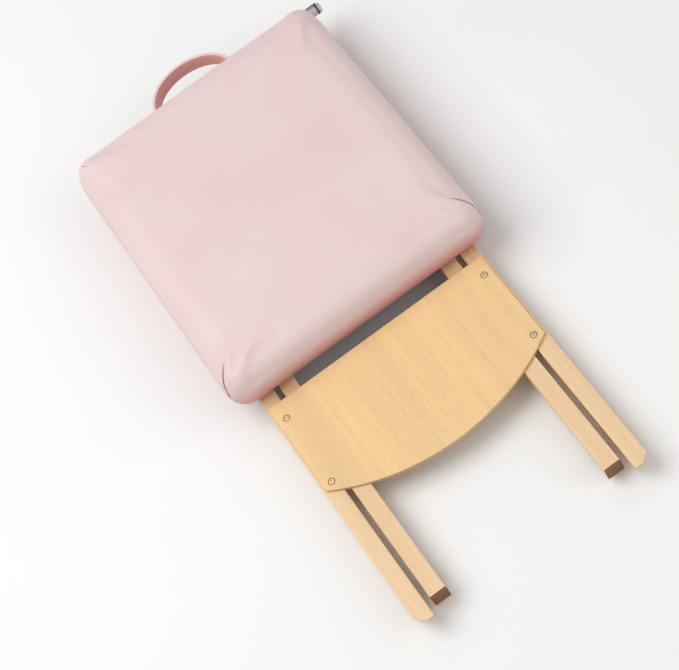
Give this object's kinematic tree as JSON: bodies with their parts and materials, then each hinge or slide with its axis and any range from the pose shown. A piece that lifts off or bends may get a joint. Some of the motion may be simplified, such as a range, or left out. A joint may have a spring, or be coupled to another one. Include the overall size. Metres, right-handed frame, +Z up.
{
  "type": "manicure table",
  "caption": "Portable manicure table folded flat: padded vinyl top with a strap handle over scissor legs that cross and lift it level.",
  "frame": {"origin": "bottom centre of the folded table's bounding box, on the floor", "axes": "+Z up; +Y towards the strap handle; the leg ends stick out towards -Y; +X towards the corner with the side peg"},
  "size_m": [0.397, 0.8802, 0.095],
  "materials": {
    "vinyl": "satin, soft pink",
    "strap_vinyl": "satin, deeper pink, stitched",
    "foam": "open cell foam",
    "plywood": "sanded plywood",
    "beech": "clear satin lacquer",
    "dust_cloth": "black woven",
    "black_steel": "black powder coat",
    "zinc_steel": "zinc plated",
    "grey_metal": "turned, satin",
    "rubber": "matt"
  },
  "bodies": {
    "feet": {"foot_bar": "black_steel", "foot_soles": "rubber"},
    "outer_legs": {"outer_leg_right": "beech", "outer_leg_left": "beech", "foot_pins": "zinc_steel", "leg_panel": "plywood", "panel_screws": "zinc_steel", "cross_bolts": "zinc_steel", "spacer_washers": "zinc_steel", "nut_washers": "zinc_steel", "cross_nuts": "zinc_steel"},
    "inner_legs": {"inner_leg_right": "beech", "inner_leg_left": "beech", "inner_rail_upper": "beech", "inner_rail_lower": "beech", "inner_rail_screws": "zinc_steel", "leg_bumpers": "rubber"},
    "top": {"pad_cover": "vinyl", "pad_foam": "foam", "top_board": "plywood", "handle_end_rail": "beech", "far_end_rail": "beech", "side_rail_right": "beech", "side_rail_left": "beech", "underside_cloth": "dust_cloth", "pivot_bracket_right": "black_steel", "pivot_bracket_left": "black_steel", "pivot_pins": "zinc_steel", "pivot_bracket_screws": "zinc_steel", "seat_bracket_right": "black_steel", "seat_bracket_left": "black_steel", "seat_bracket_screws": "zinc_steel", "spring_plungers": "zinc_steel", "handle_strap": "strap_vinyl", "handle_anchor_plates": "black_steel", "handle_anchor_screws": "zinc_steel", "side_peg_bracket": "black_steel", "side_peg": "zinc_steel", "side_peg_cap": "grey_metal", "side_peg_ring": "rubber", "side_peg_screws": "zinc_steel", "peg_keeper_wire": "black_steel"}
  },
  "joints": [
    {"name": "legs_open", "type": "hinge", "parent": "feet", "child": "outer_legs", "pos_m": [0, 0.32975, 0.021], "axis": [-1, 0, 0], "range_deg": [0, 61]},
    {"name": "legs_cross", "type": "hinge", "parent": "outer_legs", "child": "inner_legs", "pos_m": [0, -0.03539, 0.021], "axis": [1, 0, 0], "range_deg": [0, 122]},
    {"name": "top_level", "type": "hinge", "parent": "inner_legs", "child": "top", "pos_m": [0, 0.36111, 0.021], "axis": [-1, 0, 0], "range_deg": [0, 61]}
  ],
  "couplings": [
    {"joint": "legs_cross", "follows": "legs_open", "ratio": 2},
    {"joint": "top_level", "follows": "legs_open", "ratio": 1}
  ]
}
